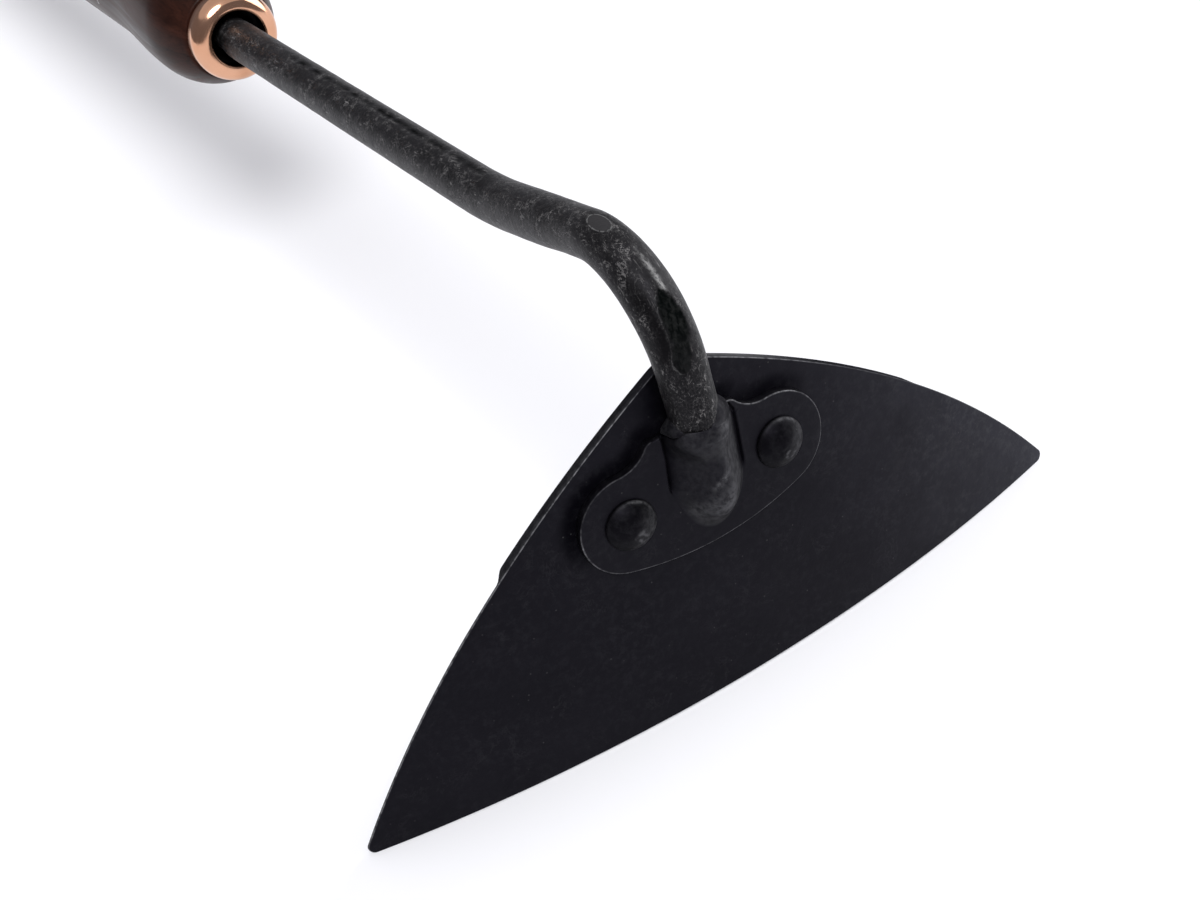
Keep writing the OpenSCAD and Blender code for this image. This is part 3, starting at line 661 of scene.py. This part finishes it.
def make_plate():
    half = plate_half()
    points, faces, wear, start = [], [], [], 0
    for side in (1, -1):
        lines = [plate_section(k, side, half) for k in range(len(half[0]))]
        upper, lower, worn = (np.array(kind) for kind in zip(*lines))
        rows, cols = upper.shape[:2]
        number = start + np.arange(rows * cols).reshape(rows, cols)
        other = number + rows * cols
        points += [upper.reshape(-1, 3), lower.reshape(-1, 3)]
        wear += [worn.ravel(), np.zeros(rows * cols)]
        faces += quads(number) + quads(other)
        faces += quads(np.array([number[:, -1], other[:, -1]]))
        faces += quads(np.array([number[-1], other[-1]]))
        start += 2 * rows * cols
    piece("pressed_plate", np.vstack(points), faces, PLATE_STEEL, "black_steel", ["mounting_plate"],
          wear=np.concatenate(wear))


# ---------------------------------------------------------------------------
# Neck: a bent round bar with the marks of its forging
# ---------------------------------------------------------------------------
# Distance between rings along the straight bar; the bends have twice as many
NECK_STEP = 0.9


def neck_line():
    """Places on the bar's middle line as pairs of Y and Z, their slopes, and the handle's start."""
    bend_c = np.array([NECK_Y + CROWN_BEND_R, BLADE_H])
    places, angles = [], []

    def straight(start, angle, length):
        for d in np.linspace(0, length, max(2, int(length / NECK_STEP)) + 1)[:-1]:
            places.append(start + d * np.array([cos(angle), sin(angle)]))
            angles.append(angle)
        return start + length * np.array([cos(angle), sin(angle)])

    def bend(centre, r, start, stop):
        count = max(6, int(2 * r * abs(stop - start) / NECK_STEP))
        for a in np.linspace(start, stop, count + 1)[:-1]:
            places.append(centre + r * np.array([cos(a), sin(a)]))
            angles.append(a + (pi / 2 if stop > start else -pi / 2))
        return centre + r * np.array([cos(stop), sin(stop)])

    straight(np.array([NECK_Y, NECK_END_H]), pi / 2, BEND_AT)
    at = bend(bend_c, CROWN_BEND_R, pi, pi / 2 - RUN_SLOPE)
    at = straight(at, -RUN_SLOPE, RUN_LEN)
    gentle_c = at + GENTLE_R * np.array([sin(RUN_SLOPE), cos(RUN_SLOPE)])
    at = bend(gentle_c, GENTLE_R, -pi / 2 - RUN_SLOPE, -pi / 2 + RISE)
    handle_start = at
    at = straight(at, RISE, TANG_END)
    places.append(at)
    angles.append(RISE)
    return np.array(places), np.array(angles), handle_start


NECK_PLACES, NECK_ANGLES, HANDLE_START = neck_line()

# Points round the bar, rings of its rounded lower end and that end's height
AROUND, CAP_RINGS, CAP_H = 112, 8, 1.8
# The bar narrows inside the boss, and is rounded off over this length with this sweep
NARROW, END_RUN, END_SWEEP = 0.5, 6.2, 8.0
# The straight run is thicker, and set to the left, by this much
THICKER, LEFT_SET = 0.24, 0.22
# The leaf: half its length, half its width, share of its length where its upper end closes, and depth
LEAF_REACH, LEAF_HALF_W, LEAF_CLOSE, LEAF_DEEP = 7.8, 2.3, 0.74, 0.38
# The oval: place past the bend's start, half its length and width, and depth
OVAL_AT, OVAL_REACH, OVAL_HALF_W, OVAL_DEEP = 30.6, 2.7, 1.7, 0.12
# The strip that is rubbed bright, partly a painted highlight, from the bend's start, the seam, from the bar's
# end, and the seam's depth
STRIP_FROM, STRIP_TO, SEAM_FROM, SEAM_TO, SEAM_DEEP = 14.2, 24, 108, 240, 0.15


def make_neck():
    turn = np.arange(AROUND) * 2 * pi / AROUND
    places, angles = NECK_PLACES, NECK_ANGLES
    travel = np.concatenate(([0], np.cumsum(np.hypot(*np.diff(places, axis=0).T))))
    up = np.column_stack((-np.sin(angles), np.cos(angles)))
    s, t = np.meshgrid(travel, turn, indexing="ij")
    past_bend = s - BEND_AT
    # Angle from the outer side of the crown bend, positive towards +X
    lean = np.angle(np.exp(1j * (pi / 2 - t)))
    r = np.full(s.shape, NECK_R)
    r *= 1 - NARROW * smooth((BOSS_TOP_H - NECK_END_H - 2.5 - s) / 5)
    r *= np.sqrt(np.clip(1 - (np.clip(END_RUN - s, 0, None) / END_SWEEP) ** 2, 0.04, 1))
    # It is a trace thicker from the bend to the ferrule
    thick = smooth((past_bend - 42) / 14) * smooth((travel[-1] - TANG_END + MOUTH_AT + 3 - s) / 6)
    r += THICKER * thick
    r += 0.05 * lumps(s, 9 * np.cos(t), 1.3, 6) * lumps(s, 9 * np.sin(t), 5.9, 9)
    r += 0.03 * lumps(s * 0.7, 5 * np.cos(t), 2.2, 2.6)

    # A leaf-shaped flat on the outer bend, and a small oval one past it: distances inside their edges
    leaf_s = (s - LEAF_LOW - LEAF_REACH) / LEAF_REACH
    leaf_mid = radians(-19) + radians(22) * smooth(leaf_s + 1)
    leaf_half = LEAF_HALF_W * np.clip(1 - (np.clip(leaf_s, 0, None) / LEAF_CLOSE) ** 2, 0, 1) ** 0.6
    leaf_half = leaf_half * (1 - 0.16 * np.exp(-((leaf_s + 0.4) / 0.16) ** 2))
    leaf_half = leaf_half * np.sqrt(np.clip(1 - np.clip(-leaf_s, 0, None) ** 3, 0, 1))
    past = np.maximum(np.clip(leaf_s - LEAF_CLOSE + 0.01, 0, None), np.clip(-leaf_s - 0.98, 0, None))
    leaf = leaf_half - NECK_R * np.abs(lean - leaf_mid) - 8 * past
    oval_s, oval_x = (past_bend - OVAL_AT) / OVAL_REACH, NECK_R * (lean + radians(3)) / OVAL_HALF_W
    oval = OVAL_HALF_W * (1 - np.hypot(oval_s, oval_x))
    r -= LEAF_DEEP * smooth(leaf) + OVAL_DEEP * smooth(oval / 0.5)
    # The bar is darker left of the leaf, whose pale outline shows on that side
    shaded = smooth((leaf_s + 1.0) / 0.5) * smooth((1.15 - leaf_s) / 0.5)
    shaded = shaded * np.exp(-((lean - leaf_mid + 0.62) / 0.34) ** 2)
    outlined = (0.10 + 0.90 * smooth((leaf_mid - lean) / 0.25)) * smooth((leaf_s + 1.25) / 0.3)
    # A strip over the bend from the leaf's tip on is rubbed bright, partly a painted highlight, and a pale
    # vein crosses the leaf
    wear = 0.9 * smooth((past_bend - STRIP_FROM) / 0.8) * smooth((STRIP_TO - past_bend) / 6)
    wear = wear * np.exp(-((NECK_R * (lean - radians(14)) / 0.5) ** 2))
    vein = np.exp(-(((s - LEAF_LOW - 4.6 + 1.8 * (lean - leaf_mid)) / 0.22) ** 2)) * smooth(leaf / 0.3 + 1)
    wear = np.maximum(wear, 0.12 * vein)
    # A painted highlight runs all along the bar's right side, stronger towards its lower end
    wear += (0.08 + 0.15 * smooth((50 - s) / 20)) * np.exp(-((lean - radians(64)) / 0.5) ** 2)
    # The dark seam down the straight of the neck, with pale flecks beside it
    seam_at = radians(6) + 0.06 * lumps(s, 0 * s, 8.8, 14)
    seam_on = smooth((s - SEAM_FROM) / 10) * smooth((SEAM_TO - s) / 30)
    seam_on = seam_on * (0.6 + 0.4 * lumps(s, 0 * s, 3.3, 9))
    dashed = smooth(0.75 + 1.6 * lumps(s, 2 * lean, 1.9, 4.0))
    seam = np.clip(1.4 * seam_on * dashed, 0, 1) * np.exp(-((NECK_R * (lean - seam_at) / 0.8) ** 2))
    r -= SEAM_DEEP * seam
    beside = np.exp(-((NECK_R * (lean - seam_at + 0.2) / 0.35) ** 2))
    wear += 0.45 * seam_on * smooth(3 * lumps(s, 4 * lean, 6.1, 1.5)) * beside

    # Bending has spread the bar a little
    spread = smooth(1 - np.abs(past_bend - 15) / 22)
    x = r * np.cos(t) * (1 + 0.07 * spread) + 0.15 * spread - LEFT_SET * thick
    y = places[:, 0][:, None] + r * np.sin(t) * up[:, 0][:, None]
    z = places[:, 1][:, None] + r * np.sin(t) * up[:, 1][:, None]
    points = [np.column_stack((x.ravel(), y.ravel(), z.ravel()))]
    number = np.arange(s.size).reshape(s.shape)
    # Rounded lower end; the upper end is flat
    end_r = NARROW * NECK_R * sqrt(1 - (END_RUN / END_SWEEP) ** 2)
    for ring in range(1, CAP_RINGS + 1):
        a = ring * (pi / 2) / (CAP_RINGS + 1)
        points.append(np.column_stack((
            end_r * cos(a) * np.cos(turn),
            NECK_Y + end_r * cos(a) * np.sin(turn) * up[0, 0],
            np.full(AROUND, NECK_END_H - CAP_H * sin(a)),
        )))
    low = s.size + np.arange(CAP_RINGS * AROUND).reshape(CAP_RINGS, AROUND)
    faces = quads(number, wrap=True) + quads(np.vstack((number[:1], low)), wrap=True)
    faces += [low[-1].tolist(), number[-1].tolist()]
    marks = {
        "wear": np.clip(wear, 0, 1), "leaf": np.clip(leaf, -2, 2), "oval": np.clip(oval, -2, 2), "seam": seam,
        "outlined": outlined, "shaded": shaded,
        "along": s, "across": NECK_R * np.cos(t), "over": NECK_R * np.sin(t),
    }
    for key, value in marks.items():
        marks[key] = np.concatenate((value.ravel(), np.tile(value[0], CAP_RINGS)))
    piece("bent_neck", np.vstack(points), faces, ROD_STEEL, "black_steel", ["neck"], **marks)


# Each weld: its side, the slant of the boss's flank there, where its front end is, and its size
WELDS = (
    (1, radians(33.6), radians(-86), 1.0),
    (-1, radians(8.3), radians(-40), 0.6),
)
# Where both welds end behind, how far out they reach, the radius of their inner side, and their wear
WELD_BACK, WELD_REACH, WELD_INNER, WELD_WEAR = radians(26), 7.9, 4.5, 0.06


def make_welds():
    """Shoulders that run from the sides of the neck out into the boss's flanks."""
    points, faces, start = [], [], 0
    for side, slant, front, tall in WELDS:
        rings = []
        for a in np.linspace(front, WELD_BACK, 55):
            full = tall * (0.04 + 0.96 * smooth((a - front) / radians(46)))
            ripple = 0.10 * lumps(a * 5, side * 3.0)
            flank = min(BOSS_R / cos(max(slant + a, 0)), WELD_REACH) - 0.7 * max(-sin(a), 0) ** 2
            section = [(WELD_INNER, -1.7 * full)]
            for q in np.linspace(0, 1, 15):
                # From the boss's flank up to the neck, swollen in between
                out = flank + 0.03 - (flank - NECK_R + 0.12) * smooth(q)
                swell = (0.45 * full + ripple) * sin(pi * q) ** 2
                section.append((out + swell, (-2.0 + 6.0 * q) * full))
            section.append((WELD_INNER, 3.6 * full))
            rings.append([(side * p * cos(a), NECK_Y + p * sin(a), BOSS_TOP_H + q) for p, q in section])
        rings = np.array(rings)
        rows, cols = rings.shape[:2]
        number = start + np.arange(rows * cols).reshape(rows, cols)
        points.append(rings.reshape(-1, 3))
        faces += capped(number)
        start += rows * cols
    points = np.vstack(points)
    piece("weld_fillets", points, faces, PLATE_STEEL, "black_steel", ["weld_beads"],
          wear=np.full(len(points), WELD_WEAR))


# ---------------------------------------------------------------------------
# Turned pieces
# ---------------------------------------------------------------------------
def lathe(profile, around):
    """A profile of radius and height turned round +Z: its points, and their numbers in rows of rings."""
    turn = np.arange(around) * 2 * pi / around
    rings = [np.column_stack((r * np.cos(turn), r * np.sin(turn), np.full(around, h))) for r, h in profile]
    number = np.arange(len(rings) * around).reshape(len(rings), around)
    return np.vstack(rings), number


# Heights of the upright rims of a rivet's head and tail, and radii of the small caps that close turnings
HEAD_RIM, TAIL_RIM, CENTRE_R, END_R = 0.5, 0.4, 0.02, 0.05


def ball_radius(r, height):
    """Radius of the ball that a dome is cut from."""
    return (r**2 + height**2) / (2 * height)


def make_rivet(name, x, node, seed):
    top = PLATE_T + HEAD_H
    ball = ball_radius(HEAD_R, HEAD_H - HEAD_RIM)
    profile = [(CENTRE_R, top)]
    for r in np.linspace(0.5, HEAD_R - 0.25, 13):
        profile.append((r, top - ball + sqrt(ball**2 - r * r)))
    profile += [(HEAD_R - 0.06, PLATE_T + 0.48), (HEAD_R, PLATE_T + 0.3)]
    profile += [(HEAD_R - 0.05, PLATE_T), (RIVET_R, PLATE_T)]
    seat = -BLADE_T - 0.02
    ball = ball_radius(TAIL_R, TAIL_H - TAIL_RIM)
    profile += [(RIVET_R, seat), (TAIL_R - 0.06, seat), (TAIL_R, seat - 0.25)]
    for r in np.linspace(TAIL_R - 0.15, 0.3, 9):
        profile.append((r, seat - TAIL_H + ball - sqrt(ball**2 - r * r)))
    profile.append((CENTRE_R, seat - TAIL_H))
    points, number = lathe(profile, 64)
    # Hammer marks on the head
    px, pz = points[:, 0], points[:, 1]
    fine = lumps(px, pz, seed + 9, 0.9)
    domed = points[:, 2] > PLATE_T + HEAD_RIM
    points[:, 2] += np.where(domed, 0.10 * lumps(px, pz, seed, 2.3) + 0.025 * fine, 0)
    # A painted highlight on the upper right of the rim, with a trace of rubbing all round it
    facing = np.cos(np.arctan2(pz, px) - radians(62))
    rim = (0.01 + 0.4 * np.clip(facing, 0, 1) ** 5) * np.exp(-((np.hypot(px, pz) - HEAD_R + 0.3) / 0.22) ** 2)
    wear = np.where(points[:, 2] > PLATE_T + 0.4, rim, 0)
    # A rubbed spot low on the dome, and a painted reflection that makes the dome paler towards its lower
    # right
    spot = np.exp(-((px - 0.6) ** 2 + (pz + 2.0) ** 2) / 2.4)
    wear = wear + np.where(domed, 0.35 * spot * smooth(fine * 2.5), 0)
    wear = wear + np.where(domed, 0.17 * smooth((px - 0.6 * pz + 0.6) / 5.5), 0)
    # Stand it on the roll of the sheet: +Z of the turning faces out of the blade
    a = np.arcsin(x / BEND_R)
    out = np.array([sin(a), -cos(a)])
    across = np.array([cos(a), sin(a)])
    foot = np.array([0, BEND_R]) + BEND_R * out
    flat = foot + points[:, :1] * across + points[:, 2:] * out
    placed = np.column_stack((flat, RIVET_H + pz))
    piece(name, placed, capped(number), RIVET_STEEL, "black_steel", [node], wear=np.clip(wear, 0, 1))


def along_handle(points):
    """Points turned round +Z, set on the handle's axis with +Z towards the butt."""
    along = np.array([cos(RISE), sin(RISE)])
    up = np.array([-sin(RISE), cos(RISE)])
    flat = HANDLE_START + points[:, 2:] * along + points[:, 1:2] * up
    return np.column_stack((points[:, 0], flat))


def make_ferrule(material):
    nose = FERRULE_R - MOUTH_R
    inner = nose - FERRULE_WALL
    profile = []
    for a in np.linspace(radians(4), pi / 2, 15):
        profile.append((MOUTH_R + nose * sin(a), MOUTH_AT + nose - nose * cos(a)))
    profile += [(FERRULE_R, MOUTH_AT + h) for h in (4.9, 5.6, 6.4, 7.1)]
    profile += [(FERRULE_R - 0.06, MOUTH_AT + 7.55)]
    profile += [(FERRULE_R - 0.3, SHOULDER_AT), (FERRULE_R - 0.9, SHOULDER_AT)]
    profile += [(FERRULE_R - FERRULE_WALL, MOUTH_AT + h) for h in (7.4, nose)]
    for a in np.linspace(pi / 2, 0, 9)[1:]:
        profile.append((MOUTH_R + inner * sin(a), MOUTH_AT + nose - inner * cos(a)))
    profile += [(MOUTH_R - 0.1, MOUTH_AT + FERRULE_WALL * 0.8)]
    profile += [(MOUTH_R - 0.14, MOUTH_AT + FERRULE_WALL * 0.4), (MOUTH_R - 0.02, MOUTH_AT + 0.08)]
    points, number = lathe(profile, 128)
    closed = np.vstack((number, number[:1]))
    piece("copper_ferrule", along_handle(points), quads(closed, wrap=True), material, "copper", ["ferrule"])


def make_handle(material):
    swell_arc = ball_radius(SWELL_AT, SWELL_R - SHOULDER_R)
    crest, butt = SHOULDER_AT + SWELL_AT, SHOULDER_AT + HANDLE_LEN
    spigot, bore = FERRULE_R - FERRULE_WALL - FIT_GAP, NECK_R + FIT_GAP
    bottom, end = TANG_END + 1, MOUTH_AT + 6.2
    # From the bottom of the tang's bore out to the spigot and the shoulder
    profile = [(END_R, bottom), (bore, bottom), (bore, end), (spigot - 0.2, end), (spigot, end + 0.3)]
    profile += [(spigot, SHOULDER_AT)]
    profile += [(SHOULDER_R - 0.35, SHOULDER_AT), (SHOULDER_R - 0.1, SHOULDER_AT + 0.05)]
    for back in np.linspace(SWELL_AT - 0.35, 0, 26):
        profile.append((SWELL_R - swell_arc + sqrt(swell_arc**2 - back**2), crest - back))
    for share in np.linspace(0, 1, 24)[1:]:
        profile.append((GRIP_R + (SWELL_R - GRIP_R) * (1 + cos(pi * share)) / 2, crest + RUNOUT * share))
    grip = crest + RUNOUT
    for share in np.linspace(0, 1, 90)[1:-1]:
        profile.append((GRIP_R, grip + (butt - BUTT_ROUND - grip) * share))
    for a in np.linspace(0, pi / 2, 14)[:-1]:
        profile.append((GRIP_R - BUTT_ROUND + BUTT_ROUND * cos(a), butt - BUTT_ROUND + BUTT_ROUND * sin(a)))
    profile += [(GRIP_R - BUTT_ROUND, butt), (4.0, butt), (END_R, butt)]
    points, number = lathe(profile, 96)
    # The end grain inside the ferrule is painted dark, as shade
    soaked = (points[:, 2] < SHOULDER_AT - 0.5) * 1.0
    piece("turned_handle", along_handle(points), capped(number), material, "dark_wood", ["handle"],
          soaked=soaked)


def make_pin(material):
    # Both ends are dressed round with the wood
    profile = [(CENTRE_R, GRIP_R)]
    profile += [(r, sqrt(GRIP_R**2 - r * r)) for r in (0.5, 1.0, 1.4, 1.7, 1.88, 1.97)]
    profile += [(PIN_R, sqrt(GRIP_R**2 - PIN_R**2) - 0.12)]
    profile += [(r, -h) for r, h in profile[::-1]]
    points, number = lathe(profile, 48)
    # The pin lies across the handle
    points = np.column_stack((points[:, 2], points[:, 1], points[:, 0] + PIN_AT))
    piece("cross_pin", along_handle(points), capped(number), material, "bare_steel", ["tang_pin"])


make_blade()
make_plate()
make_neck()
make_welds()
make_rivet("left_rivet", -RIVET_X, "rivet_left", 2.7)
make_rivet("right_rivet", RIVET_X, "rivet_right", 6.1)
make_ferrule(copper())
make_handle(dark_wood())
make_pin(bare_steel())

# ---------------------------------------------------------------------------
# Floor, light and camera
# ---------------------------------------------------------------------------
FLOOR_HALF, FLOOR_TONE = 20, tone(0.89, 0.89, 0.915)
floor_mesh = bpy.data.meshes.new("floor")
corners = [(x * FLOOR_HALF, y * FLOOR_HALF, 0) for x, y in ((-1, -1), (1, -1), (1, 1), (-1, 1))]
floor_mesh.from_pydata(corners, [], [(0, 1, 2, 3)])
floor = bpy.data.objects.new("floor", floor_mesh)
bpy.context.scene.collection.objects.link(floor)
floor_finish = Finish("pale_floor")
floor_finish.set(Base_Color=FLOOR_TONE, Roughness=0.9, Specular_IOR_Level=0.0)
floor_mesh.materials.append(floor_finish.material)

# Dim surroundings and three broad soft lamps: the key over the camera's left, one from the right,
# one overhead, each with where it stands, its energy and its width in degrees
SKY_TONE, SKY_STRENGTH = tone(0.90, 0.90, 1.0), 0.21
LAMPS = {
    "key": ((-0.18, -0.62, 0.77), 2.45, 26),
    "right": ((0.92, -0.06, 0.38), 1.8, 45),
    "top": ((0.10, 0.10, 0.99), 0.80, 100),
}
world = bpy.data.worlds.new("studio")
bpy.context.scene.world = world
world.use_nodes = True
sky = world.node_tree.nodes["Background"]
sky.inputs["Color"].default_value = SKY_TONE
sky.inputs["Strength"].default_value = SKY_STRENGTH
for name, (stand, energy, width) in LAMPS.items():
    lamp = bpy.data.lights.new(name, "SUN")
    lamp.energy = energy
    lamp.angle = radians(width)
    lamp_obj = bpy.data.objects.new(name, lamp)
    lamp_obj.rotation_mode = "QUATERNION"
    lamp_obj.rotation_quaternion = (-Vector(stand)).to_track_quat("-Z", "Y")
    bpy.context.scene.collection.objects.link(lamp_obj)

# The camera stands where the photograph was taken from
CAMERA_AT = (-0.12838058, -1.06592796, 0.28030946)
CAMERA_RIGHT = (0.83863915, -0.49589560, -0.22532626)
CAMERA_DOWN = (-0.45698955, -0.41548534, -0.78646836)
CAMERA_AHEAD = (0.29638644, 0.76253491, -0.57506138)
FOCAL_PIXELS, IMAGE_W, SENSOR_W = 1992.6677, 1200, 36
camera = bpy.data.cameras.new("camera")
camera.sensor_width = SENSOR_W
camera.lens = FOCAL_PIXELS * SENSOR_W / IMAGE_W
camera.clip_start = 0.01
camera_obj = bpy.data.objects.new("camera", camera)
axes = [Vector(CAMERA_RIGHT), -Vector(CAMERA_DOWN), -Vector(CAMERA_AHEAD)]
camera_obj.matrix_world = Matrix.Translation(CAMERA_AT) @ Matrix(axes).transposed().to_4x4()
bpy.context.scene.collection.objects.link(camera_obj)
bpy.context.scene.camera = camera_obj
bpy.context.scene.view_settings.view_transform = "Standard"
